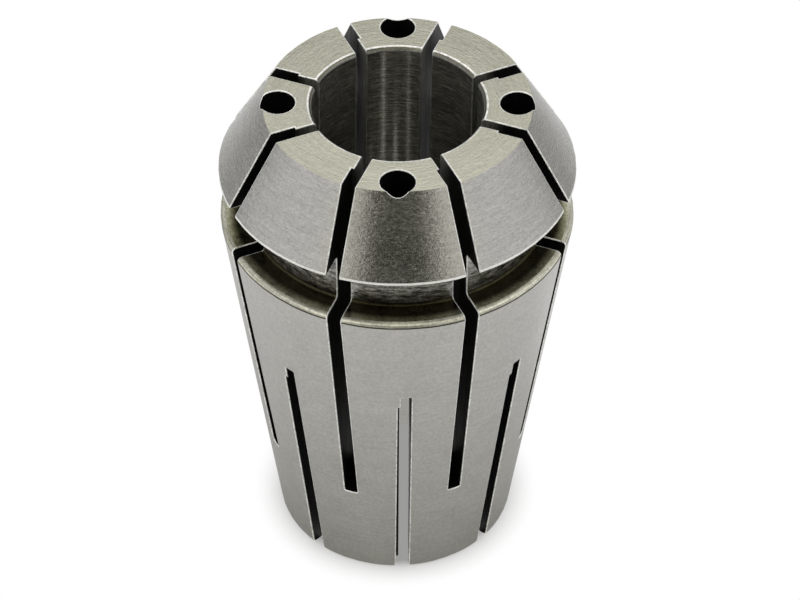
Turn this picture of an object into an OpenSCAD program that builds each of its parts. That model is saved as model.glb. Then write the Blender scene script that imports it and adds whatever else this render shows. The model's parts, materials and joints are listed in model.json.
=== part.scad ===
// Slotted spring collet with an 8 degree taper seat, a nut groove and a 30 degree nose cone.
// Lengths are in millimetres. The axis is +Z, the rear end stands on Z = 0, the nose is up.
// Angle 0 of the slot pattern faces -Y, and angles grow towards +X.

/* [Head] */
// Overall length, from the rear end to the front face
overall_l = 31.5; // [27:0.5:36]
// Largest diameter, at the foot of the nose cone
head_d = 21; // [20:0.1:24]
// Height of the head, from the groove to the front face
head_h = 4.8; // [3.5:0.1:6]
// Straight band at the largest diameter
land_h = 0.16; // [0.1:0.02:0.6]
// Slope of the nose cone against the axis, in degrees
nose_angle = 30; // [25:0.5:32]

/* [Nut groove] */
// Width of the groove that takes the nut's ring
groove_w = 3.1; // [2:0.1:4]
// Diameter of the neck at the bottom of the groove
neck_d = 17.5; // [16.8:0.1:18.5]
// Radius in the two inner corners of the groove
groove_fillet = 0.2; // [0.05:0.05:0.4]

/* [Taper seat] */
// Largest diameter of the taper, as its lines meet at the groove
seat_d = 21; // [20:0.02:21.6]
// Slope of the taper against the axis, in degrees
seat_angle = 8; // [7:0.25:9]
// Radius of the rim between the taper and the groove
rim_round = 0.3; // [0.1:0.05:0.8]
// Radius of the outer edge at the rear end
rear_round = 0.3; // [0.1:0.05:0.6]

/* [Bore] */
// Diameter of the clamping bore
bore_d = 10; // [4:0.5:10.5]
// Width of the chamfer at the front of the bore
front_chamfer = 0.2; // [0.1:0.05:0.4]
// Width of the chamfer at the rear of the bore
rear_chamfer = 0.4; // [0.1:0.05:0.8]

/* [Slots] */
// Number of slots cut from each end
slots_per_end = 8; // [4, 6, 8]
// Width of a slot where it opens to the outside
slot_w = 0.81; // [0.6:0.01:1.1]
// Shoulder inside a slot: how much narrower it is next to the bore
slot_shoulder = 0.18; // [0.05:0.01:0.3]
// Thickness of the inner part of the wall, where a slot is narrow
inner_wall = 1.3; // [0.6:0.1:1.8]
// Steel left between the front slots and the rear end
front_web = 7.2; // [4:0.1:9]
// Steel left between the rear slots and the groove
rear_web = 6.7; // [4:0.1:9]
// How far the narrow cut of a rear slot runs past the wide one
rear_lead = 0.9; // [0.3:0.1:1.4]
// Radius in the corners of a slot's closed end
slot_corner = 0.1; // [0.05:0.05:0.25]
// Lean of the front slots against the axis, in degrees
front_slot_lean = 0.5; // [0:0.1:1]
// Sideways shift of each rear slot from the radial line that it is cut along
rear_slot_shift = 0.22; // [0:0.02:0.24]

/* [Coolant holes] */
// Diameter of the holes that run from the front face into the rear slots
hole_d = 2.05; // [1:0.05:2.2]
// Diameter of the circle that the holes are on
hole_pcd = 13.9; // [13.4:0.1:14.4]
// Turn of the holes against the middle of the jaws, in degrees
hole_turn = -1.6; // [-3:0.1:3]
// How far a hole runs down into its rear slot
hole_overlap = 1.5; // [0.5:0.1:3]
// Full angle of the drill point at the bottom of a hole
drill_angle = 118; // [90:1:140]

/* [Hidden] */
$fn = 128;
// How far a cutting shape runs past the surface that it opens
cut_past = 1;
head_r = head_d / 2;
neck_r = neck_d / 2;
seat_r = seat_d / 2;
bore_r = bore_d / 2;
hole_r = hole_d / 2;
// Heights of the groove's two walls
head_z = overall_l - head_h;
groove_z = head_z - groove_w;
// Small radius of the nose cone and of the taper
face_r = head_r - (head_h - land_h) * tan(nose_angle);
rear_r = seat_r - groove_z * tan(seat_angle);
// Angle between one slot and the next slot from the same end
slot_pitch = 360 / slots_per_end;
// The narrow cut and the closed ends of the slots
kerf_w = slot_w - slot_shoulder;
corner_r = min(slot_corner, kerf_w / 2 - 0.02);
rear_slot_z = groove_z - rear_web;
hole_z = rear_slot_z - hole_overlap;

// Rounded corner of the taper: below its top edge with lean -1, above its foot with lean 1
function round_x(edge_r, radius, lean) =
    edge_r - radius * (1 - lean * sin(seat_angle)) / cos(seat_angle);

// Outline of one rounded corner: the circle that is tangent to the taper and to the level face
module corner_circle(edge_r, level_z, radius, lean) {
    translate([round_x(edge_r, radius, lean), level_z + lean * radius])
        circle(r = radius);
}

// Half section of the taper seat, with its rounded rim and rear edge
module seat_section() {
    rim_x = round_x(seat_r, rim_round, -1);
    foot_x = round_x(rear_r, rear_round, 1);
    normal = [cos(seat_angle), -sin(seat_angle)];
    polygon([
        [0, 0],
        [foot_x, 0],
        [foot_x, rear_round] + rear_round * normal,
        [rim_x, groove_z - rim_round] + rim_round * normal,
        [rim_x, groove_z],
        [0, groove_z]
    ]);
    corner_circle(seat_r, groove_z, rim_round, -1);
    corner_circle(rear_r, 0, rear_round, 1);
}

// Half section of the neck, with a fillet at each end that blends into the groove's walls
module neck_section() {
    translate([0, groove_z])
        square([neck_r, groove_w]);
    for (end = [0, 1])
        difference() {
            translate([neck_r, end ? head_z - groove_fillet : groove_z])
                square(groove_fillet);
            translate([neck_r + groove_fillet,
                       end ? head_z - groove_fillet : groove_z + groove_fillet])
                circle(r = groove_fillet);
        }
}

// Half section of the head: underside, narrow land, nose cone and front face
module head_section() {
    polygon([
        [0, head_z],
        [head_r, head_z],
        [head_r, head_z + land_h],
        [face_r, overall_l],
        [0, overall_l]
    ]);
}

// The turned and ground blank, before it is bored and slotted
module blank() {
    rotate_extrude() {
        seat_section();
        neck_section();
        head_section();
    }
}

// Clamping bore with a chamfer at each end
module bore() {
    rotate_extrude()
        polygon([
            [0, -cut_past],
            [bore_r + rear_chamfer + cut_past, -cut_past],
            [bore_r + rear_chamfer, 0],
            [bore_r, rear_chamfer],
            [bore_r, overall_l - front_chamfer],
            [bore_r + front_chamfer, overall_l],
            [bore_r + front_chamfer + cut_past, overall_l + cut_past],
            [0, overall_l + cut_past]
        ]);
}

// Outline of a cut, open at the foot, with two small radii in its closed end
module cut_outline(width, length) {
    translate([-width / 2, -cut_past])
        square([width, length + cut_past - corner_r]);
    translate([-width / 2 + corner_r, 0])
        square([width - 2 * corner_r, length]);
    for (side = [-1, 1])
        translate([side * (width / 2 - corner_r), length - corner_r])
            circle(r = corner_r);
}

// One slot that opens at Z = 0: a narrow cut through the wall, widened on one side from a
// shoulder outwards. The wide cut stops short of the narrow one by the lead.
module slot(length, lead) {
    reach = head_r + cut_past;
    rotate([90, 0, 0]) {
        translate([slot_shoulder / 2, 0, 0])
            linear_extrude(reach)
                cut_outline(kerf_w, length);
        translate([0, 0, bore_r + inner_wall])
            linear_extrude(reach - bore_r - inner_wall)
                cut_outline(slot_w, length - lead);
    }
}

// Slots from the rear end, near the middle of each jaw
module rear_slots() {
    for (i = [0 : slots_per_end - 1])
        rotate([0, 0, i * slot_pitch])
            translate([rear_slot_shift, 0, 0])
                slot(rear_slot_z, rear_lead);
}

// Slots from the front face, half a pitch further round. They part the jaws, and each leans
// about the radial line that it starts from in the face.
module front_slots() {
    for (i = [0 : slots_per_end - 1])
        rotate([0, 0, (i + 0.5) * slot_pitch])
            translate([0, 0, overall_l])
                rotate([0, -front_slot_lean, 0])
                    mirror([0, 0, 1])
                        slot(overall_l - front_web, 0);
}

// Coolant holes in every second jaw. They break out at the top of the nose cone.
module coolant_holes() {
    point_h = hole_r / tan(drill_angle / 2);
    for (i = [0 : 2 : slots_per_end - 1])
        rotate([0, 0, i * slot_pitch + hole_turn])
            translate([0, -hole_pcd / 2, hole_z]) {
                cylinder(r = hole_r, h = overall_l + cut_past - hole_z);
                translate([0, 0, -point_h])
                    cylinder(r1 = 0, r2 = hole_r, h = point_h);
            }
}

module collet_body() {
    color([0.66, 0.65, 0.62])
        difference() {
            blank();
            bore();
            rear_slots();
            front_slots();
            coolant_holes();
        }
}

collet_body();
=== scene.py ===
"""A slotted spring collet of ground steel, standing nose up on a white floor.

The collet is one piece. Its turned half section is revolved, the slots and the coolant holes
are cut through it, and its sharp edges are broken, apart from the one between front face and
nose cone and the one inside the bore's foot. Each face keeps the finish of the work step that
made it: ground taper, turned nose cone, faced front, bored hole, sawn slots. Some colours also
hold painted light and shade: the slots, the coolant holes and the edge under the head are near
black as painted shade, the broken edges and the land are near white as painted highlights, the
rim is partly a painted highlight, a thin dark band on it is painted shade, and the bore's rear
part is lighter as painted light.
Shapes are worked out in millimetres and scaled to metres at the end. The axis is +Z, and
angles count from -Y towards +X, as in the part's own drawing.
"""

import json
import math
from types import SimpleNamespace

import bmesh
import bpy
import numpy as np
from bpy.props import FloatProperty, FloatVectorProperty, IntProperty, PointerProperty
from mathutils import Matrix, Vector


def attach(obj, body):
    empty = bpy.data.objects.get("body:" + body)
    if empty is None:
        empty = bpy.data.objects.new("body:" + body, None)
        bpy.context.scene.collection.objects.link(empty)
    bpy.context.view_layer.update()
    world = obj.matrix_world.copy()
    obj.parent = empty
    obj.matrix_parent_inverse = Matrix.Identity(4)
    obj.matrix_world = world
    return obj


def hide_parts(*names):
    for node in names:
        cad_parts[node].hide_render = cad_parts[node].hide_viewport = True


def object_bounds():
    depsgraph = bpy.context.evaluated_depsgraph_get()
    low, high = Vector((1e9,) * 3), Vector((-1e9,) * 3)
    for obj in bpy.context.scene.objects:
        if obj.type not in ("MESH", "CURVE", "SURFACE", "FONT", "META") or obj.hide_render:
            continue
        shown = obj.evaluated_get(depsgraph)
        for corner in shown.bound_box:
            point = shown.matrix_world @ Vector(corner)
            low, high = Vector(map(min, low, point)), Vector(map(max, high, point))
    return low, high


bl_info = {
    "name": "Spring Collet",
    "version": (1, 0, 0),
    "blender": (4, 5, 0),
    "location": "View3D > Sidebar > Collet",
    "description": "Builds a slotted spring collet and the stage that it stands on",
    "category": "Object",
}

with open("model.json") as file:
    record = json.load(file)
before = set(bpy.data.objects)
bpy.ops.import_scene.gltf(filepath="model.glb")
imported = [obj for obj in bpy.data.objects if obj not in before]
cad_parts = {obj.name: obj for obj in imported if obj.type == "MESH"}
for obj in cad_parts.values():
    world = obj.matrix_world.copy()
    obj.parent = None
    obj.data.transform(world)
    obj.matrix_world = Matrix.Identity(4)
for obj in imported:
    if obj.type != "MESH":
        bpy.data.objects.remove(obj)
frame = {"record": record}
CAD_LOW, CAD_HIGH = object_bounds()
CLAMP_BORE = next(m for m in frame["record"]["mounts"] if m["name"] == "clamp_bore")
MM = 0.001
BODY = "root"
CAD_NODE = "collet_body"

# How far a cutter runs past the surface that it opens, in millimetres
CUT_PAST = 1
# Straight steps in a slot's or the groove's rounded corner, and round a coolant hole
CORNER_STEPS = 4
HOLE_STEPS = 32
# Height that the land, painted near white as a highlight, takes of the nose cone, as a share
# of the broken edge's width
LAND_SHARE = 0.8
# Angles on the rim's arc between which a thin dark band of painted shade lies, near where the
# round meets the taper, in degrees
RIM_LINE = (-2, 17)
# Convex edges of turned faces are broken where they turn by more than this
SHARP_TURN = math.radians(40)
# Sawn and drilled faces that turn by less than this at a point are shaded as one
SMOOTH_TURN = math.radians(35)
# Faces that turn by less than this are one flat face
FLAT_TURN = 0.0005
# Points closer than this are one, before and after the edges are broken, in millimetres
WELD = 0.004
FINE_WELD = 0.0005
# A sum of unit normals shorter than this says that they cancel out
NO_LENGTH = 0.1

# Half the floor's side, and how far it lies under the collet, so that their faces don't meet
FLOOR_HALF = 0.6
FLOOR_GAP = 0.02 * MM
# Place and side of the soft box behind and above the collet
SOFT_BOX_PLACE = (0, 0.100, 0.160)
SOFT_BOX_SIDE = 0.085
WHITE = (1, 1, 1, 1)

# Finishes of the collet's faces, in the order of its material slots
FINISHES = (
    "ground_taper",
    "rounded_rim",
    "rim_shade_line",
    "ground_land",
    "turned_cone",
    "faced_front",
    "turned_groove",
    "turned_neck",
    "bored_hole",
    "bore_foot",
    "bore_chamfer",
    "sawn_slot_shade",
    "drilled_hole_shade",
    "broken_edge",
    "rear_end",
)
FINISH = {name: number for number, name in enumerate(FINISHES)}
# Finishes that aren't made round the axis. The normals of the others, whose numbers TURNED
# holds, follow the outline.
NOT_TURNED = {"sawn_slot_shade", "drilled_hole_shade", "broken_edge"}
TURNED = {number for name, number in FINISH.items() if name not in NOT_TURNED}


def length(name, description, default):
    """A size in metres, shown in the scene's unit"""
    return FloatProperty(
        name=name,
        description=description,
        default=default,
        min=0,
        precision=5,
        unit="LENGTH",
        subtype="DISTANCE",
    )


def angle(name, description, degrees):
    """An angle, shown in degrees"""
    return FloatProperty(
        name=name,
        description=description,
        default=math.radians(degrees),
        unit="ROTATION",
        subtype="ANGLE",
    )


def factor(name, description, default):
    """A share between none and all"""
    return FloatProperty(
        name=name, description=description, default=default, min=0, max=1, subtype="FACTOR"
    )


def colour(name, description, default):
    """A linear colour"""
    return FloatVectorProperty(
        name=name, description=description, default=default, size=3, min=0, max=1, subtype="COLOR"
    )


class ColletSizes(bpy.types.PropertyGroup):
    """Sizes of the collet, as its drawing gives them"""

    overall_length: length(
        "Overall length", "From the rear end to the front face", CAD_HIGH.z - CAD_LOW.z
    )
    head_diameter: length(
        "Head diameter", "Largest diameter, at the foot of the nose cone", CAD_HIGH.x - CAD_LOW.x
    )
    head_height: length("Head height", "From the groove to the front face", 0.0048)
    land_height: length("Land height", "Straight band at the largest diameter", 0.00016)
    nose_angle: angle("Nose angle", "Slope of the nose cone against the axis", 30)
    groove_width: length("Groove width", "Groove that takes the nut's ring", 0.0031)
    neck_diameter: length("Neck diameter", "Bottom of the groove", 0.0175)
    groove_fillet: length("Groove fillet", "Radius in the groove's inner corners", 0.0002)
    seat_diameter: length("Seat diameter", "Top of the taper, at the groove", 0.021)
    seat_angle: angle("Seat angle", "Slope of the taper against the axis", 8)
    rim_round: length("Rim round", "Radius between the taper and the groove", 0.0003)
    rear_round: length("Rear round", "Radius of the outer edge at the rear end", 0.0003)
    bore_diameter: length("Bore diameter", "The clamping bore", 2 * CLAMP_BORE["dims"]["r_mm"] * MM)
    front_chamfer: length("Front chamfer", "Width of the chamfer at the front", 0.0002)
    rear_chamfer: length("Rear chamfer", "Width of the chamfer at the rear", 0.0004)
    slots_per_end: IntProperty(
        name="Slots per end", description="Number of slots cut from each end", default=8, min=4
    )
    slot_width: length("Slot width", "Width of a slot where it opens outwards", 0.00081)
    slot_shoulder: length("Slot shoulder", "How much narrower a slot is inside", 0.00018)
    inner_wall: length("Inner wall", "Wall thickness where a slot is narrow", 0.0013)
    front_web: length("Front web", "Steel left under the front slots", 0.0072)
    rear_web: length("Rear web", "Steel left between rear slots and groove", 0.0067)
    rear_lead: length("Rear lead", "How far a rear slot's narrow cut runs on", 0.0009)
    slot_corner: length("Slot corner", "Radius in a slot's closed end", 0.0001)
    front_slot_lean: angle("Front slot lean", "Lean of the front slots against the axis", 0.5)
    rear_slot_shift: length("Rear slot shift", "Of a rear slot from its radial line", 0.00022)
    hole_diameter: length("Hole diameter", "The coolant holes", 0.00205)
    hole_circle: length("Hole circle", "Diameter of the circle that the holes are on", 0.0139)
    hole_turn: angle("Hole turn", "Turn of the holes against the slots", -1.6)
    hole_overlap: length("Hole overlap", "How far a hole runs into its rear slot", 0.0015)
    drill_angle: angle("Drill angle", "Full angle of the drill point", 118)
    edge_break: length("Edge break", "Width of the broken outer edges", 0.000065)
    # The rim's painted highlight runs this far on into the groove
    rim_run: length("Rim run", "How far the rim's finish runs on into the groove", 0.00004)
    # The bore's rear part is lighter and plainer in colour than the bore above, as painted light
    bore_foot: length("Bore foot", "How far up the bore its smoother rear part runs", 0.006)


class ColletSteel(bpy.types.PropertyGroup):
    """Colours and gloss of the collet's steel, some of them with painted light and shade"""

    ground_colour: colour("Ground steel", "The taper", (0.484, 0.476, 0.451))
    cone_colour: colour("Cone steel", "The nose cone", (0.44, 0.434, 0.415))
    face_colour: colour("Faced steel", "The front face", (0.365, 0.358, 0.294))
    groove_colour: colour("Groove steel", "Walls of the nut groove", (0.52, 0.51, 0.37))
    groove_inner_colour: colour("Groove steel inside", "Near the neck", (0.04, 0.036, 0.02))
    neck_colour: colour("Neck steel", "Bottom of the nut groove", (0.26, 0.255, 0.24))
    # Lighter and warmer than the taper: partly the rim's own steel, partly a painted highlight
    rim_highlight_colour: colour("Rim steel", "The taper's rounded rim", (0.68, 0.67, 0.56))
    # Near white: a painted highlight along the narrow land round the head
    land_highlight_colour: colour("Land steel", "Narrow band round the head", (0.95, 0.945, 0.92))
    bore_colour: colour("Bored steel", "The bore", (0.292, 0.286, 0.250))
    # Lighter than the bore above it: painted light on the bore's rear part
    bore_foot_light_colour: colour("Bored steel behind", "The bore's rear part", (0.41, 0.405, 0.385))
    chamfer_colour: colour("Chamfer steel", "The bore's chamfers", (0.20, 0.195, 0.15))
    # Near black from 6.6 mm outwards: painted shade on the slot walls, also used in the coolant
    # holes and on the edge under the head. Towards the bore the walls turn to the inside colour.
    slot_shade_colour: colour("Sawn steel", "Walls of the slots, outside", (0.010, 0.010, 0.010))
    slot_inner_colour: colour("Sawn steel inside", "Walls near the bore", (0.22, 0.22, 0.20))
    # Near white: a painted highlight on the broken edges. In the bore they take the darker inside
    # colour instead.
    edge_highlight_colour: colour("Edge steel", "Broken edges", (0.97, 0.965, 0.93))
    edge_inner_colour: colour("Edge steel inside", "Broken edges in the bore", (0.22, 0.22, 0.21))
    ground_roughness: factor("Ground roughness", "Roughness of the taper", 0.36)
    turned_roughness: factor("Turned roughness", "Roughness of the nose cone", 0.25)


class StageLook(bpy.types.PropertyGroup):
    """Floor, light and camera"""

    floor_colour: colour("Floor", "Colour of the floor", (0.75, 0.75, 0.75))
    world_level: FloatProperty(
        name="World level", description="Strength of the soft light all round", default=0.97, min=0
    )
    lamp_power: FloatProperty(
        name="Lamp power",
        description="Power of the soft box behind and above",
        default=0.027,
        min=0,
        unit="POWER",
    )
    camera_distance: length("Camera distance", "From the camera to its target", 0.2325)
    camera_elevation: angle("Camera elevation", "Height above the horizon", 42.92)
    camera_azimuth: angle("Camera azimuth", "Turn round the axis", -1.87)
    camera_roll: angle("Camera roll", "Turn about the line of sight", 0.37)
    camera_target: length("Camera target", "Height of the point that it faces", 0.015915)
    camera_shift: length("Camera shift", "Of that point from the axis", 0.000207)
    camera_lens: FloatProperty(
        name="Lens", description="Focal length in millimetres", default=172.75, min=1
    )


def drawing(sizes):
    """The collet's sizes in millimetres, and what follows from them"""
    d = SimpleNamespace()
    for name in sizes.bl_rna.properties.keys():
        value = getattr(sizes, name)
        if isinstance(value, float):
            unit = sizes.bl_rna.properties[name].unit
            setattr(d, name, value / MM if unit == "LENGTH" else value)
    d.slots = sizes.slots_per_end
    d.head_r = d.head_diameter / 2
    d.neck_r = d.neck_diameter / 2
    d.seat_r = d.seat_diameter / 2
    d.bore_r = d.bore_diameter / 2
    d.hole_r = d.hole_diameter / 2
    d.head_z = d.overall_length - d.head_height
    d.groove_z = d.head_z - d.groove_width
    d.face_r = d.head_r - (d.head_height - d.land_height) * math.tan(d.nose_angle)
    d.rear_r = d.seat_r - d.groove_z * math.tan(d.seat_angle)
    d.rear_slot_z = d.groove_z - d.rear_web
    d.hole_z = d.rear_slot_z - d.hole_overlap
    d.pitch = 2 * math.pi / d.slots
    return d


class Outline:
    """A closed half section: its points, and each line's finish and end normals"""

    def __init__(self, r, z):
        self.points = [(r, z)]
        self.lines = []

    def line(self, r, z, finish):
        """Adds a straight line to (r, z)"""
        r0, z0 = self.points[-1]
        normal = np.array((z - z0, r0 - r))
        normal /= np.linalg.norm(normal)
        self.lines.append((FINISH[finish], normal, normal))
        self.points.append((r, z))

    def arc(self, centre, radius, start, end, steps, finish):
        """Adds an arc by its angles in degrees; one that runs backwards is hollow"""
        turns = [math.radians(start + (end - start) * i / steps) for i in range(steps + 1)]
        out = 1 if end > start else -1
        normals = [out * np.array((math.cos(t), math.sin(t))) for t in turns]
        for t, n0, n1 in zip(turns[1:], normals, normals[1:]):
            point = (centre[0] + radius * math.cos(t), centre[1] + radius * math.sin(t))
            self.lines.append((FINISH[finish], n0, n1))
            self.points.append(point)

    def close(self):
        """Drops the last point, which is the first one again"""
        self.points.pop()
        return self


def collet_outline(d):
    """Half section of the turned blank with its bore, from the rear end round to it"""
    lean = math.degrees(d.seat_angle)
    cos_seat, sin_seat = math.cos(d.seat_angle), math.sin(d.seat_angle)
    foot_x = d.rear_r - d.rear_round * (1 - sin_seat) / cos_seat
    rim_x = d.seat_r - d.rim_round * (1 + sin_seat) / cos_seat
    rim_z = d.groove_z - d.rim_round
    fillet = d.groove_fillet
    fillet_x = d.neck_r + fillet
    out = Outline(d.bore_r + d.rear_chamfer, 0)
    out.line(foot_x, 0, "rear_end")
    out.arc((foot_x, d.rear_round), d.rear_round, -90, -lean, 6, "ground_taper")
    rim_foot = (rim_x + d.rim_round * cos_seat, rim_z - d.rim_round * sin_seat)
    out.line(*rim_foot, "ground_taper")
    line_start, line_end = RIM_LINE
    out.arc((rim_x, rim_z), d.rim_round, -lean, line_start, 1, "ground_taper")
    # A thin dark band of painted shade where the rim's round meets the taper
    out.arc((rim_x, rim_z), d.rim_round, line_start, line_end, 2, "rim_shade_line")
    out.arc((rim_x, rim_z), d.rim_round, line_end, 90, 7, "rounded_rim")
    # The rim's painted highlight runs on into the groove's flank
    out.line(rim_x - d.rim_run, d.groove_z, "rounded_rim")
    out.line(fillet_x, d.groove_z, "turned_groove")
    low_corner = (fillet_x, d.groove_z + fillet)
    out.arc(low_corner, fillet, -90, -180, CORNER_STEPS, "turned_groove")
    out.line(d.neck_r, d.head_z - fillet, "turned_neck")
    out.arc((fillet_x, d.head_z - fillet), fillet, 180, 90, CORNER_STEPS, "turned_neck")
    out.line(d.head_r, d.head_z, "turned_groove")
    land_z = d.head_z + d.land_height
    out.line(d.head_r, land_z, "ground_land")
    rise = d.edge_break * LAND_SHARE
    out.line(d.head_r - rise * math.tan(d.nose_angle), land_z + rise, "ground_land")
    out.line(d.face_r, d.overall_length, "turned_cone")
    out.line(d.bore_r + d.front_chamfer, d.overall_length, "faced_front")
    out.line(d.bore_r, d.overall_length - d.front_chamfer, "bore_chamfer")
    out.line(d.bore_r, d.bore_foot, "bored_hole")
    # The bore's rear part and its rear chamfer take the lighter finish, as painted light
    out.line(d.bore_r, d.rear_chamfer, "bore_foot")
    out.line(d.bore_r + d.rear_chamfer, 0, "bore_foot")
    return out.close()


def spoke(turn):
    """Unit vectors outwards and along the turn, at an angle round the axis"""
    out = np.array((math.sin(turn), -math.cos(turn), 0.0))
    along = np.array((math.cos(turn), math.sin(turn), 0.0))
    return out, along


def column_turns(d):
    """Angles of the blank's columns: one inside each slot, and the rest clear of its walls"""
    half = d.pitch / 2
    steps = 3
    # Of each pair, the first is for a rear slot and the second for a front slot. A column lies
    # inside the slot, and more run from after its wall to before the wall of the next slot.
    inside = (math.radians(2.0), math.radians(1.9))
    after = (math.radians(8.2), math.radians(8.6))
    before = (math.radians(4.2), math.radians(5.1))
    turns = []
    for i in range(2 * d.slots):
        front = i % 2
        start, end = after[front], half - before[1 - front]
        offsets = [inside[front], *(start + (end - start) * k / steps for k in range(steps + 1))]
        turns += [i * half + offset for offset in offsets]
    return turns


def revolve(outline, turns):
    """The outline turned round the axis, as a closed mesh"""
    points = [
        (r * math.sin(t), -r * math.cos(t), z) for r, z in outline.points for t in turns
    ]
    rows, columns = len(outline.points), len(turns)
    faces, finishes = [], []
    for i in range(rows):
        for j in range(columns):
            i1, j1 = (i + 1) % rows, (j + 1) % columns
            corners = ((i, j), (i, j1), (i1, j1), (i1, j))
            faces.append([a * columns + b for a, b in corners])
            finishes.append(outline.lines[i][0])
    mesh = bpy.data.meshes.new("blank")
    mesh.from_pydata(points, [], faces)
    mesh.polygons.foreach_set("material_index", finishes)
    return mesh


def arc_points(centre, radius, start, end, steps):
    """Points on an arc given in degrees, both ends included"""
    turns = [math.radians(start + (end - start) * i / steps) for i in range(steps + 1)]
    return [(centre[0] + radius * math.cos(t), centre[1] + radius * math.sin(t)) for t in turns]


def slot_outlines(d, reach, lead):
    """The slot as seen from outside: points (across, back from the closed end)

    Returns the run that the narrow and the wide cut share, and the two runs on from it.
    """
    high = d.slot_width / 2
    low = -high + d.slot_shoulder
    corner = d.slot_corner

    def rounded(centre, start, end):
        return arc_points(centre, corner, start, end, CORNER_STEPS)

    shared = [(high, reach), *rounded((high - corner, corner), 0, -90)]
    narrow_corner = rounded((low + corner, corner), -90, -180)
    wide_corner = rounded((-high + corner, lead + corner), -90, -180)
    if lead > corner:
        # The wide cut's rounded corner meets the narrow cut's wall this far from its end
        rise = corner - math.sqrt(corner**2 - (corner - d.slot_shoulder) ** 2)
        shared += [*narrow_corner, (low, lead + rise)]
        narrow = [(low, reach)]
        wide = [p for p in wide_corner if p[0] < low] + [(-high, reach)]
    else:
        shared.append(narrow_corner[0])
        narrow = [*narrow_corner[1:], (low, reach)]
        wide = [*wide_corner, (-high, reach)]
    return shared, narrow, wide


def add_slot(bm, d, turn, closed_z, reach, lead, up, lean=0.0, shift=0.0):
    """Adds one slot to the cutter: narrow near the bore, wide from the shoulder outwards

    The slot runs from closed_z, and up is 1 where its open end is above and -1 below. It
    leans about the radial line that it starts from in the front face, or is shifted from it.
    """
    out, along = spoke(turn)
    shared, narrow, wide = slot_outlines(d, reach, lead)
    top = d.overall_length

    def ring(points, radius):
        made = []
        for across, back in points:
            depth = top - closed_z - up * back
            side = across * math.cos(lean) + depth * math.sin(lean) + shift
            z = top + across * math.sin(lean) - depth * math.cos(lean)
            place = out * radius + along * side
            made.append(bm.verts.new((place[0], place[1], z)))
        return made

    start_r, end_r = d.bore_r - CUT_PAST, d.head_r + CUT_PAST
    shoulder_r = d.bore_r + d.inner_wall
    inner = ring(shared + narrow, start_r)
    middle = ring(shared, shoulder_r)
    middle_narrow = ring(narrow, shoulder_r)
    middle_wide = ring(wide, shoulder_r)
    outer = ring(shared + wide, end_r)

    def wall(ring_a, ring_b):
        for a, b, c, e in zip(ring_a, ring_a[1:], ring_b[1:], ring_b):
            bm.faces.new((a, b, c, e))

    wall(inner, middle + middle_narrow)
    wall(middle + middle_wide, outer)
    bm.faces.new((inner[-1], inner[0], middle[0], middle_narrow[-1]))
    bm.faces.new((middle[0], middle_narrow[-1], middle_wide[-1], outer[-1], outer[0]))
    bm.faces.new((middle[-1], *middle_narrow, *reversed(middle_wide)))
    bm.faces.new(inner)
    bm.faces.new(outer)


def slot_cutter(d):
    """All slots of both ends, as one mesh of separate closed solids"""
    bm = bmesh.new()
    rear_reach = d.rear_slot_z + CUT_PAST
    front_reach = d.overall_length - d.front_web + CUT_PAST
    for i in range(d.slots):
        rear_turn, front_turn = i * d.pitch, (i + 0.5) * d.pitch
        add_slot(
            bm, d, rear_turn, d.rear_slot_z, rear_reach,
            lead=d.rear_lead, up=-1, shift=d.rear_slot_shift,
        )
        add_slot(
            bm, d, front_turn, d.front_web, front_reach, lead=0, up=1, lean=d.front_slot_lean
        )
    return finished_cutter(bm, "slots", "sawn_slot_shade")


def hole_cutter(d):
    """The coolant holes with their drill points"""
    bm = bmesh.new()
    top_z = d.overall_length + CUT_PAST
    for i in range(0, d.slots, 2):
        out, along = spoke(i * d.pitch + d.hole_turn)
        centre = out * d.hole_circle / 2
        top, foot = [], []
        for k in range(HOLE_STEPS):
            t = 2 * math.pi * (k + 0.5) / HOLE_STEPS
            place = centre + d.hole_r * (math.cos(t) * out + math.sin(t) * along)
            top.append(bm.verts.new((place[0], place[1], top_z)))
            foot.append(bm.verts.new((place[0], place[1], d.hole_z)))
        point_z = d.hole_z - d.hole_r / math.tan(d.drill_angle / 2)
        tip = bm.verts.new((centre[0], centre[1], point_z))
        bm.faces.new(top)
        for k in range(HOLE_STEPS):
            k1 = (k + 1) % HOLE_STEPS
            bm.faces.new((top[k], top[k1], foot[k1], foot[k]))
            bm.faces.new((foot[k], foot[k1], tip))
    return finished_cutter(bm, "holes", "drilled_hole_shade")


def finished_cutter(bm, name, finish):
    """The cutter's mesh, with its faces outwards and its finish set"""
    bmesh.ops.recalc_face_normals(bm, faces=bm.faces)
    for face in bm.faces:
        face.material_index = FINISH[finish]
    mesh = bpy.data.meshes.new(name)
    bm.to_mesh(mesh)
    bm.free()
    return mesh


def cut(mesh, cutter_meshes, materials):
    """The mesh less each cutter in turn. Cut faces keep the cutter's finish."""
    for part in (mesh, *cutter_meshes):
        for material in materials:
            part.materials.append(material)
    body = bpy.data.objects.new("cut_body", mesh)
    cutters = [bpy.data.objects.new(part.name, part) for part in cutter_meshes]
    for obj in (body, *cutters):
        bpy.context.scene.collection.objects.link(obj)
    for cutter in cutters:
        step = body.modifiers.new(cutter.name, "BOOLEAN")
        step.operation = "DIFFERENCE"
        step.solver = "MANIFOLD"
        step.object = cutter
    graph = bpy.context.evaluated_depsgraph_get()
    result = bpy.data.meshes.new_from_object(body.evaluated_get(graph))
    for obj in (body, *cutters):
        part = obj.data
        bpy.data.objects.remove(obj)
        bpy.data.meshes.remove(part)
    return result


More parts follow.
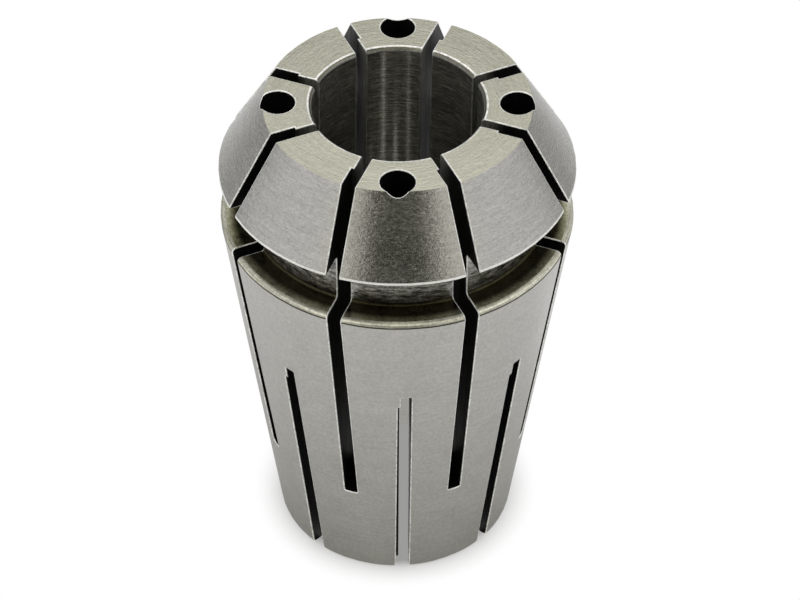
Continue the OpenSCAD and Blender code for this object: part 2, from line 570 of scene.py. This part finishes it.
def break_edges(bm, width):
    """Bevels the sharp edges of all turned faces, as a deburring tool leaves them. The edge
    between front face and nose cone stays sharp, and so does the one inside the bore's foot."""
    kept = ({FINISH["faced_front"], FINISH["turned_cone"]}, {FINISH["bore_foot"]})
    edges = []
    for edge in bm.edges:
        if edge.is_manifold and edge.calc_face_angle_signed() > SHARP_TURN:
            finishes = {face.material_index for face in edge.link_faces}
            if finishes & TURNED and finishes not in kept:
                edges.append(edge)
    bmesh.ops.bevel(
        bm,
        geom=edges,
        offset=width,
        offset_type="OFFSET",
        segments=2,
        profile=0.5,
        affect="EDGES",
        clamp_overlap=False,
        loop_slide=True,
        material=FINISH["broken_edge"],
    )


def shade_head_edge(bm, d):
    """Gives the broken edge under the head the slots' near black colour, as painted shade under the
    head
    """
    for face in bm.faces:
        centre = face.calc_center_median()
        away = math.hypot(centre.x, centre.y)
        near = abs(centre.z - d.head_z) < d.edge_break and away > d.head_r - d.edge_break
        if near and face.material_index == FINISH["broken_edge"]:
            face.material_index = FINISH["sawn_slot_shade"]


def tidy_mesh(bm):
    """Merges what the cuts left in flat faces, and drops faces of no size"""
    bmesh.ops.remove_doubles(bm, verts=bm.verts, dist=WELD)
    bmesh.ops.dissolve_limit(
        bm,
        angle_limit=FLAT_TURN,
        use_dissolve_boundaries=False,
        verts=bm.verts,
        edges=bm.edges,
        delimit={"MATERIAL"},
    )
    bmesh.ops.dissolve_degenerate(bm, dist=WELD, edges=bm.edges)


def turned_normal(outline, face_centre, finish, places):
    """Exact normals of a turned face at some places, from its line in the outline"""
    centre = np.array((math.hypot(face_centre[0], face_centre[1]), face_centre[2]))
    points = np.array(outline.points)
    best = None
    for i, (kind, n0, n1) in enumerate(outline.lines):
        if kind != finish:
            continue
        a, b = points[i], points[(i + 1) % len(points)]
        along = b - a
        share = np.clip(np.dot(centre - a, along) / np.dot(along, along), 0, 1)
        gap = np.linalg.norm(a + share * along - centre)
        if best is None or gap < best[0]:
            best = (gap, a, along, n0, n1)
    _, a, along, n0, n1 = best
    made = []
    for place in places:
        r = math.hypot(place[0], place[1])
        share = np.clip(np.dot(np.array((r, place[2])) - a, along) / np.dot(along, along), 0, 1)
        n = n0 * (1 - share) + n1 * share
        made.append(Vector((n[0] * place[0] / r, n[0] * place[1] / r, n[1])).normalized())
    return made


def smooth_normals(bm, outline):
    """Normals of all face corners: exact on turned faces, flat on sawn ones, and on broken
    edges running over from one neighbour to the other"""
    edge_finish = FINISH["broken_edge"]
    similar = math.cos(SMOOTH_TURN)
    corner = {}
    for face in bm.faces:
        kind = face.material_index
        if kind == edge_finish:
            continue
        if kind in TURNED:
            places = [v.co for v in face.verts]
            found = turned_normal(outline, face.calc_center_median(), kind, places)
        else:
            found = []
            for vert in face.verts:
                total = Vector()
                for other in vert.link_faces:
                    same = other.material_index == kind
                    if same and other.normal.dot(face.normal) > similar:
                        total += other.normal * other.calc_area()
                found.append(total.normalized() if total.length > 0 else face.normal.copy())
        for vert, normal in zip(face.verts, found):
            corner[(face.index, vert.index)] = normal
    for face in bm.faces:
        if face.material_index != edge_finish:
            continue
        for vert in face.verts:
            total = Vector()
            for other in vert.link_faces:
                if other.material_index != edge_finish:
                    total += corner[(other.index, vert.index)]
            if total.length < NO_LENGTH:
                total = Vector()
                for other in vert.link_faces:
                    total += other.normal * other.calc_area()
            corner[(face.index, vert.index)] = total.normalized()
    return corner


class Nodes:
    """Adds nodes to a tree and joins them; a value, a colour or a socket may feed an input"""

    def __init__(self, tree):
        self.tree = tree
        tree.nodes.clear()

    def add(self, kind, inputs=None, **settings):
        node = self.tree.nodes.new(kind)
        for name, value in settings.items():
            setattr(node, name, value)
        for key, value in (inputs or {}).items():
            self.feed(node.inputs[key], value)
        return node

    def feed(self, socket, value):
        if isinstance(value, bpy.types.NodeSocket):
            self.tree.links.new(value, socket)
        else:
            socket.default_value = value

    def maths(self, operation, a, b=0.0, clamp=False):
        node = self.add("ShaderNodeMath", {0: a, 1: b}, operation=operation, use_clamp=clamp)
        return node.outputs[0]

    def between(self, value, low, high, to_low, to_high, smooth=False):
        """The value's place between low and high, moved to between two others"""
        ranges = {"From Min": low, "From Max": high, "To Min": to_low, "To Max": to_high}
        node = self.add(
            "ShaderNodeMapRange",
            {"Value": value, **ranges},
            interpolation_type="SMOOTHSTEP" if smooth else "LINEAR",
        )
        return node.outputs[0]

    def noise(self, vector, scale, detail, rough):
        node = self.add(
            "ShaderNodeTexNoise",
            {"Vector": vector, "Scale": scale, "Detail": detail, "Roughness": rough},
        )
        return node.outputs["Fac"]

    def mix(self, share, a, b):
        """A colour between a and b"""
        node = self.add("ShaderNodeMix", data_type="RGBA", blend_type="MIX")
        self.feed(node.inputs[0], share)
        self.feed(node.inputs[6], a)
        self.feed(node.inputs[7], b)
        return node.outputs[2]

    def scaled(self, tint, share):
        """A colour times a value"""
        node = self.add("ShaderNodeVectorMath", operation="SCALE")
        self.feed(node.inputs[0], tint)
        self.feed(node.inputs[3], share)
        return node.outputs[0]


def millimetres(nodes):
    """Place on the collet, in millimetres"""
    place = nodes.add("ShaderNodeTexCoord").outputs["Object"]
    return nodes.scaled(place, 1 / MM)


def from_axis(nodes, place):
    """Distance of a place from the collet's axis"""
    split = nodes.add("ShaderNodeSeparateXYZ", {0: place})
    flat = nodes.add("ShaderNodeCombineXYZ", {0: split.outputs[0], 1: split.outputs[1]})
    away = nodes.add("ShaderNodeVectorMath", {0: flat.outputs[0]}, operation="LENGTH")
    return away.outputs["Value"]


def tool_lines(nodes, place, along, across, rings):
    """Coordinates that stretch a noise into fine lines round the axis, or into rings"""
    split = nodes.add("ShaderNodeSeparateXYZ", {0: place})
    x, y, z = split.outputs
    if rings:
        z = from_axis(nodes, place)
    joined = nodes.add(
        "ShaderNodeCombineXYZ",
        {
            0: nodes.maths("MULTIPLY", x, along),
            1: nodes.maths("MULTIPLY", y, along),
            2: nodes.maths("MULTIPLY", z, across),
        },
    )
    return joined.outputs[0]


# What a finish has where its look doesn't say: the scale (per mm) and tone of clouds and grain,
# the lines' change of gloss, the grain's share of the relief, and the shader's own values
PLAIN_LOOK = dict(
    line_gloss=0.03, cloud_scale=0.45, cloud_tone=0.04, grain_scale=7.0, grain_tone=0.04,
    grain_depth=0.3, metallic=1.0, specular=0.5, drawn=0.0, rings=False,
)
# The long lines against the fine ones: their scale along and across, their tone and relief
LONG_ALONG, LONG_ACROSS, LONG_TONE, LONG_DEPTH = 0.15, 0.6, 0.7, 0.5
# Change of gloss by the clouds, and the range that holds nearly all values of a noise
CLOUD_GLOSS = 0.02
NOISE_RANGE = (0.3, 0.7)


def steel(name, tint, roughness, look):
    """A steel finish: tool lines, soft clouds and fine grain in tone, gloss and relief

    look gives the lines' scale along and across (per mm), their tone and depth (mm), and what
    differs from PLAIN_LOOK. Drawn is how far the gloss is drawn out across the lines. An inner
    tint holds up to the start of the tint range, a distance from the axis in mm.
    """
    look = {**PLAIN_LOOK, **look}
    material = bpy.data.materials.new(name)
    material.use_nodes = True
    nodes = Nodes(material.node_tree)
    place = millimetres(nodes)
    along, across, rings = look["along"], look["across"], look["rings"]
    fine_place = tool_lines(nodes, place, along, across, rings)
    long_place = tool_lines(nodes, place, along * LONG_ALONG, across * LONG_ACROSS, rings)
    fine = nodes.noise(fine_place, scale=1.0, detail=2.0, rough=0.6)
    long = nodes.noise(long_place, scale=1.0, detail=2.0, rough=0.6)
    clouds = nodes.noise(place, scale=look["cloud_scale"], detail=3.0, rough=0.55)
    grain = nodes.noise(place, scale=look["grain_scale"], detail=2.0, rough=0.6)
    tone = 1.0
    for pattern, depth in (
        (fine, look["line_tone"]),
        (long, look["line_tone"] * LONG_TONE),
        (clouds, look["cloud_tone"]),
        (grain, look["grain_tone"]),
    ):
        share = nodes.between(pattern, *NOISE_RANGE, 1 - depth, 1 + depth)
        tone = nodes.maths("MULTIPLY", tone, share)
    base = tuple(tint)
    if "inner_tint" in look:
        reach = from_axis(nodes, place)
        outside = nodes.between(reach, *look["tint_range"], 0.0, 1.0, smooth=True)
        base = nodes.mix(outside, (*look["inner_tint"], 1), (*tint, 1))
    shade = nodes.scaled(base, tone)
    gloss = look["line_gloss"]
    rough = nodes.between(fine, *NOISE_RANGE, roughness - gloss, roughness + gloss)
    cloud_gloss = nodes.between(clouds, *NOISE_RANGE, -CLOUD_GLOSS, CLOUD_GLOSS)
    rough = nodes.maths("ADD", rough, cloud_gloss, clamp=True)
    relief = nodes.maths("ADD", fine, nodes.maths("MULTIPLY", long, LONG_DEPTH))
    relief = nodes.maths("ADD", relief, nodes.maths("MULTIPLY", grain, look["grain_depth"]))
    bump = nodes.add(
        "ShaderNodeBump",
        {"Strength": 1.0, "Distance": look["depth"] * MM, "Height": relief},
    )
    shader = nodes.add(
        "ShaderNodeBsdfPrincipled",
        {
            "Base Color": shade,
            "Metallic": look["metallic"],
            "Roughness": rough,
            "Specular IOR Level": look["specular"],
            "Anisotropic": look["drawn"],
            "Anisotropic Rotation": 0.25,
            "Normal": bump.outputs[0],
        },
    )
    if look["drawn"]:
        tangent = nodes.add("ShaderNodeTangent", direction_type="RADIAL", axis="Z")
        nodes.feed(shader.inputs["Tangent"], tangent.outputs[0])
    output = nodes.add("ShaderNodeOutputMaterial")
    nodes.feed(output.inputs[0], shader.outputs[0])
    return material


def steel_finishes(steels):
    """The collet's materials, in the order of FINISHES"""
    ground = dict(
        along=1.2, across=9.0, line_tone=0.04, depth=0.005,
        cloud_tone=0.045, cloud_scale=0.6, grain_tone=0.10, grain_scale=5.0, drawn=0.4,
    )
    rim = dict(
        along=0.25, across=14.0, line_tone=0.45, line_gloss=0.06, depth=0.012,
        cloud_tone=0.08, grain_tone=0.25, grain_scale=6.0, drawn=0.3, metallic=0.45,
    )
    land = dict(
        along=1.0, across=8.0, line_tone=0.08, depth=0.004, grain_tone=0.10, metallic=0.3,
    )
    cone = dict(
        along=4.0, across=11.0, line_tone=0.14, line_gloss=0.04, depth=0.018,
        cloud_tone=0.02, grain_tone=0.12, grain_scale=12.0, grain_depth=0.50, drawn=0.6,
    )
    front = dict(
        along=2.2, across=9.0, line_tone=0.08, depth=0.010,
        cloud_tone=0.05, grain_tone=0.08, drawn=0.4, rings=True,
    )
    groove = dict(
        along=2.0, across=7.0, line_tone=0.20, line_gloss=0.06, depth=0.012,
        cloud_tone=0.12, cloud_scale=1.2, grain_tone=0.25, grain_scale=6.0, drawn=0.3,
        inner_tint=tuple(steels.groove_inner_colour), tint_range=(9.5, 10.1),
    )
    neck = dict(
        along=1.6, across=5.0, line_tone=0.75, line_gloss=0.08, depth=0.030,
        cloud_tone=0.15, cloud_scale=1.2, grain_tone=0.45, grain_depth=0.6, drawn=0.2,
    )
    bored = dict(
        along=1.4, across=11.0, line_tone=0.60, line_gloss=0.02, depth=0.004,
        cloud_tone=0.06, grain_tone=0.25, grain_depth=0.05, drawn=0.85, metallic=0.80,
    )
    # The bore's rear part: plainer, and with its own colour lighter, as painted light
    bore_foot = dict(bored, line_tone=0.04, grain_tone=0.04)
    chamfer = dict(bored, along=0.4, across=16.0, depth=0.01, drawn=0.3)
    sawn = dict(
        along=5.0, across=0.5, line_tone=0.35, line_gloss=0.05, depth=0.012,
        cloud_tone=0.10, grain_tone=0.12, metallic=0.5, specular=0.1,
    )
    # Broken edges: near white as a painted highlight, darker inside the bore
    edge = dict(
        along=3.0, across=3.0, line_tone=0.25, depth=0.001, grain_tone=0.25, metallic=0.35,
        inner_tint=tuple(steels.edge_inner_colour), tint_range=(5.05, 5.2),
    )
    # Slot walls: the inside colour at the bore, near black outwards as painted shade
    inner = dict(sawn, inner_tint=tuple(steels.slot_inner_colour), tint_range=(5.2, 6.6))
    # Colour, roughness and look of each finish
    made = {
        "ground_taper": (steels.ground_colour, steels.ground_roughness, ground),
        # The rim: partly its own steel, partly a painted highlight
        "rounded_rim": (steels.rim_highlight_colour, 0.36, rim),
        # A thin dark band of painted shade on the rim
        "rim_shade_line": (steels.groove_inner_colour, 0.36, rim),
        # The land: near white as a painted highlight
        "ground_land": (steels.land_highlight_colour, 0.40, land),
        "turned_cone": (steels.cone_colour, steels.turned_roughness, cone),
        "faced_front": (steels.face_colour, 0.26, front),
        "turned_groove": (steels.groove_colour, 0.30, groove),
        "turned_neck": (steels.neck_colour, 0.33, neck),
        "bored_hole": (steels.bore_colour, 0.18, bored),
        # The bore's rear part: painted light
        "bore_foot": (steels.bore_foot_light_colour, 0.18, bore_foot),
        "bore_chamfer": (steels.chamfer_colour, 0.30, chamfer),
        # Slot walls and the edge under the head: near black as painted shade
        "sawn_slot_shade": (steels.slot_shade_colour, 0.45, inner),
        # Coolant holes: near black as painted shade
        "drilled_hole_shade": (steels.slot_shade_colour, 0.40, sawn),
        # Broken edges: a painted highlight
        "broken_edge": (steels.edge_highlight_colour, 0.45, edge),
        "rear_end": (steels.ground_colour, 0.38, dict(front, line_tone=0.06)),
    }
    return [steel(name, *made[name]) for name in FINISHES]


class COLLET_OT_make_body(bpy.types.Operator):
    """Builds the collet's body, cuts its slots and holes, breaks its edges and finishes it"""

    bl_idname = "collet.make_body"
    bl_label = "Make Collet Body"
    bl_options = {"REGISTER", "UNDO"}

    def execute(self, context):
        d = drawing(context.scene.collet_sizes)
        outline = collet_outline(d)
        blank = revolve(outline, column_turns(d))
        materials = steel_finishes(context.scene.collet_steel)
        mesh = cut(blank, (slot_cutter(d), hole_cutter(d)), materials)
        bm = bmesh.new()
        bm.from_mesh(mesh)
        tidy_mesh(bm)
        break_edges(bm, d.edge_break)
        bmesh.ops.dissolve_degenerate(bm, dist=FINE_WELD, edges=bm.edges)
        shade_head_edge(bm, d)
        open_edges = sum(not e.is_manifold for e in bm.edges)
        if open_edges or not bm.faces:
            raise RuntimeError(f"the collet's mesh has {open_edges} open edges")
        bm.verts.index_update()
        bm.faces.index_update()
        bm.normal_update()
        corner = smooth_normals(bm, outline)
        bm.to_mesh(mesh)
        bm.free()
        mesh.name = "collet"
        mesh.transform(Matrix.Scale(MM, 4))
        mesh.shade_smooth()
        normals = [
            corner[(face.index, vert)] for face in mesh.polygons for vert in face.vertices
        ]
        mesh.normals_split_custom_set(normals)
        collet = bpy.data.objects.new("collet", mesh)
        context.scene.collection.objects.link(collet)
        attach(collet, BODY)
        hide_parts(CAD_NODE)
        print("collet mesh:", len(mesh.vertices), "points,", len(mesh.polygons), "faces")
        return {"FINISHED"}


# Where the floor changes, as distances from the axis in millimetres. Seen by the camera it
# turns from matte to plain white, and mirrored in the steel it has a bright ring near the
# collet and is bright again far away.
SEEN_WHITE = (5.4, 9.1)
UNDER_COLLET = 6.6
RING_RISE, RING_FALL = (8.0, 32.0), (34.0, 95.0)
FAR_RISE = (250.0, 550.0)
# Behind the collet (+Y) the ring lies closer to it on the right (+X) than on the left, by the
# lift. Further behind, the floor is unlit in a mirror.
BEHIND, ACROSS, LIFT = (3.0, 8.0), (-10.0, 10.0), (-4.0, 8.0)
UNLIT_BEHIND = (110.0, 145.0)
# Levels at which the floor under the collet glows, seen and mirrored: grey as painted shade
# seen through the slots, and near white as painted light in a mirror; and the level of the
# unlit part
UNDER_SEEN, UNDER_MIRRORED, UNLIT = 0.33, 0.98, 0.06


def floor_material(look):
    """A white floor: matte round the collet, to keep its shadow, and plain white away from it.
    Under the collet it glows grey as painted shade for the camera, and near white as painted
    light in a mirror
    """
    material = bpy.data.materials.new("white_floor")
    material.use_nodes = True
    nodes = Nodes(material.node_tree)
    place = millimetres(nodes)
    x, y, _ = nodes.add("ShaderNodeSeparateXYZ", {0: place}).outputs
    distance = from_axis(nodes, place)
    rays = nodes.add("ShaderNodeLightPath").outputs
    seen = rays["Is Camera Ray"]
    mirrored = nodes.maths("ADD", rays["Is Glossy Ray"], rays["Is Transmission Ray"], clamp=True)

    def grown(measure, limits, low=0.0, high=1.0):
        return nodes.between(measure, *limits, low, high, smooth=True)

    def glow(tint, level):
        return nodes.add("ShaderNodeEmission", {"Color": tint, "Strength": level}).outputs[0]

    def joined(share, a, b):
        return nodes.add("ShaderNodeMixShader", {0: share, 1: a, 2: b}).outputs[0]

    lift = nodes.maths("MULTIPLY", grown(y, BEHIND), grown(x, ACROSS, *LIFT))
    ring = nodes.maths(
        "MULTIPLY",
        nodes.between(nodes.maths("ADD", distance, lift), *RING_RISE, 0.0, 1.0),
        grown(distance, RING_FALL, 1.0, 0.0),
    )
    bright = nodes.maths("ADD", ring, grown(distance, FAR_RISE), clamp=True)
    bright = nodes.maths("MULTIPLY", bright, mirrored)
    seen_white = nodes.maths("MULTIPLY", grown(distance, SEEN_WHITE), seen)
    white_share = nodes.maths("ADD", seen_white, bright, clamp=True)
    matte = nodes.add("ShaderNodeBsdfDiffuse", {"Color": (*look.floor_colour, 1)}).outputs[0]
    floor = joined(white_share, matte, glow(WHITE, 1.0))

    # Under the collet the floor glows: grey as painted shade for the camera, near white as painted
    # light in a mirror
    within = nodes.maths("LESS_THAN", distance, UNDER_COLLET)
    direct = nodes.maths("ADD", mirrored, seen, clamp=True)
    under_share = nodes.maths("MULTIPLY", within, direct)
    under_level = nodes.between(mirrored, 0.0, 1.0, UNDER_SEEN, UNDER_MIRRORED)
    floor = joined(under_share, floor, glow((1.0, 1.0, 0.98, 1), under_level))

    unlit_share = nodes.maths("MULTIPLY", grown(y, UNLIT_BEHIND), mirrored)
    floor = joined(unlit_share, floor, glow((1.0, 1.0, 0.9, 1), UNLIT))
    output = nodes.add("ShaderNodeOutputMaterial")
    nodes.feed(output.inputs[0], floor)
    return material


def make_floor(look):
    """A wide white floor, just under the collet"""
    half = FLOOR_HALF
    corners = [(-half, -half), (half, -half), (half, half), (-half, half)]
    mesh = bpy.data.meshes.new("floor")
    mesh.from_pydata([(x, y, -FLOOR_GAP) for x, y in corners], [], [(0, 1, 2, 3)])
    mesh.materials.append(floor_material(look))
    floor = bpy.data.objects.new("floor", mesh)
    bpy.context.scene.collection.objects.link(floor)


# The soft room's colours, and where one gives way to another, in degrees off the front (-Y)
# or above the horizon. A dark window stands low in front, and the room is dim low behind.
WARM_WHITE = (1.0, 0.98, 0.86, 1)
DIM_GREY = (0.45, 0.45, 0.44, 1)
DARK_GREY = (0.024, 0.024, 0.012, 1)
WARM_SIDE = (26, 60)
WINDOW_SIDE, WINDOW_TOP = (20.5, 28.5), (32, 50)
DIM_SIDE, DIM_TOP = (90, 130), (42, 58)


def make_world(look):
    """Soft light from all round, with a darker window in front, and white behind"""
    world = bpy.data.worlds.new("soft_room")
    world.use_nodes = True
    bpy.context.scene.world = world
    nodes = Nodes(world.node_tree)
    direction = nodes.add("ShaderNodeTexCoord").outputs["Generated"]
    split = nodes.add("ShaderNodeSeparateXYZ", {0: direction})
    x, y, z = split.outputs
    turn = nodes.maths("ARCTAN2", x, nodes.maths("MULTIPLY", y, -1.0))
    off_front = nodes.maths("ABSOLUTE", turn)
    height = nodes.maths("ARCSINE", z)

    def within(measure, limits):
        start, end = (math.radians(limit) for limit in limits)
        return nodes.between(measure, start, end, 1.0, 0.0, smooth=True)

    warm_share = within(off_front, WARM_SIDE)
    dark_share = nodes.maths("MULTIPLY", within(off_front, WINDOW_SIDE), within(height, WINDOW_TOP))
    behind = nodes.maths("SUBTRACT", 1.0, within(off_front, DIM_SIDE))
    dim_share = nodes.maths("MULTIPLY", behind, within(height, DIM_TOP))
    room = nodes.mix(warm_share, WHITE, WARM_WHITE)
    room = nodes.mix(dim_share, room, DIM_GREY)
    room = nodes.mix(dark_share, room, DARK_GREY)
    light = nodes.add("ShaderNodeBackground", {"Color": room, "Strength": look.world_level})
    white = nodes.add("ShaderNodeBackground", {"Color": WHITE, "Strength": 1.0})
    path = nodes.add("ShaderNodeLightPath")
    both = nodes.add(
        "ShaderNodeMixShader",
        {0: path.outputs["Is Camera Ray"], 1: light.outputs[0], 2: white.outputs[0]},
    )
    output = nodes.add("ShaderNodeOutputWorld")
    nodes.feed(output.inputs[0], both.outputs[0])


def make_lamp(name, place, target, size, power):
    """A square soft box that faces its target"""
    light = bpy.data.lights.new(name, "AREA")
    light.shape = "SQUARE"
    light.size = size
    light.energy = power
    lamp = bpy.data.objects.new(name, light)
    lamp.location = place
    lamp.rotation_mode = "QUATERNION"
    lamp.rotation_quaternion = (Vector(target) - Vector(place)).to_track_quat("-Z", "Y")
    bpy.context.scene.collection.objects.link(lamp)


def make_camera(look):
    """The camera at the photograph's place"""
    rise, turn, roll = look.camera_elevation, look.camera_azimuth, look.camera_roll
    level = Vector((math.sin(turn), -math.cos(turn), 0.0))
    back = level * math.cos(rise) + Vector((0.0, 0.0, math.sin(rise)))
    right = Vector((math.cos(turn), math.sin(turn), 0.0))
    up = back.cross(right)
    target = Vector((0, 0, look.camera_target)) + right * look.camera_shift
    turned_right = right * math.cos(roll) + up * math.sin(roll)
    turned_up = up * math.cos(roll) - right * math.sin(roll)
    data = bpy.data.cameras.new("camera")
    data.lens = look.camera_lens
    data.sensor_width = 36
    data.clip_start, data.clip_end = 0.01, 10
    camera = bpy.data.objects.new("camera", data)
    axes = Matrix((turned_right, turned_up, back)).transposed().to_4x4()
    camera.matrix_world = Matrix.Translation(target + back * look.camera_distance) @ axes
    bpy.context.scene.collection.objects.link(camera)
    bpy.context.scene.camera = camera


class COLLET_OT_make_stage(bpy.types.Operator):
    """Makes the floor, the soft light and the camera"""

    bl_idname = "collet.make_stage"
    bl_label = "Make Stage"
    bl_options = {"REGISTER", "UNDO"}

    def execute(self, context):
        look = context.scene.collet_stage
        context.scene.view_settings.view_transform = "Standard"
        make_camera(look)
        make_world(look)
        make_floor(look)
        place, side = SOFT_BOX_PLACE, SOFT_BOX_SIDE
        make_lamp("soft_box_back", place, (0, 0, CAD_HIGH.z), side, look.lamp_power)
        return {"FINISHED"}


class COLLET_PT_panel(bpy.types.Panel):
    """Sizes, steel and stage of the collet"""

    bl_label = "Spring Collet"
    bl_idname = "COLLET_PT_panel"
    bl_space_type = "VIEW_3D"
    bl_region_type = "UI"
    bl_category = "Collet"

    def draw(self, context):
        layout = self.layout
        scene = context.scene
        for title, group, step in (
            ("Sizes", scene.collet_sizes, None),
            ("Steel", scene.collet_steel, "collet.make_body"),
            ("Stage", scene.collet_stage, "collet.make_stage"),
        ):
            box = layout.box()
            box.label(text=title)
            for name in group.bl_rna.properties.keys():
                if name not in {"rna_type", "name"}:
                    box.prop(group, name)
            if step:
                box.operator(step)


CLASSES = (
    ColletSizes,
    ColletSteel,
    StageLook,
    COLLET_OT_make_body,
    COLLET_OT_make_stage,
    COLLET_PT_panel,
)
GROUPS = {"collet_sizes": ColletSizes, "collet_steel": ColletSteel, "collet_stage": StageLook}


def register():
    for cls in CLASSES:
        bpy.utils.register_class(cls)
    for name, group in GROUPS.items():
        setattr(bpy.types.Scene, name, PointerProperty(type=group))


def unregister():
    for name in GROUPS:
        delattr(bpy.types.Scene, name)
    for cls in reversed(CLASSES):
        bpy.utils.unregister_class(cls)


def main():
    """Builds everything"""
    register()
    bpy.ops.collet.make_stage()
    bpy.ops.collet.make_body()


if __name__ == "__main__":
    main()
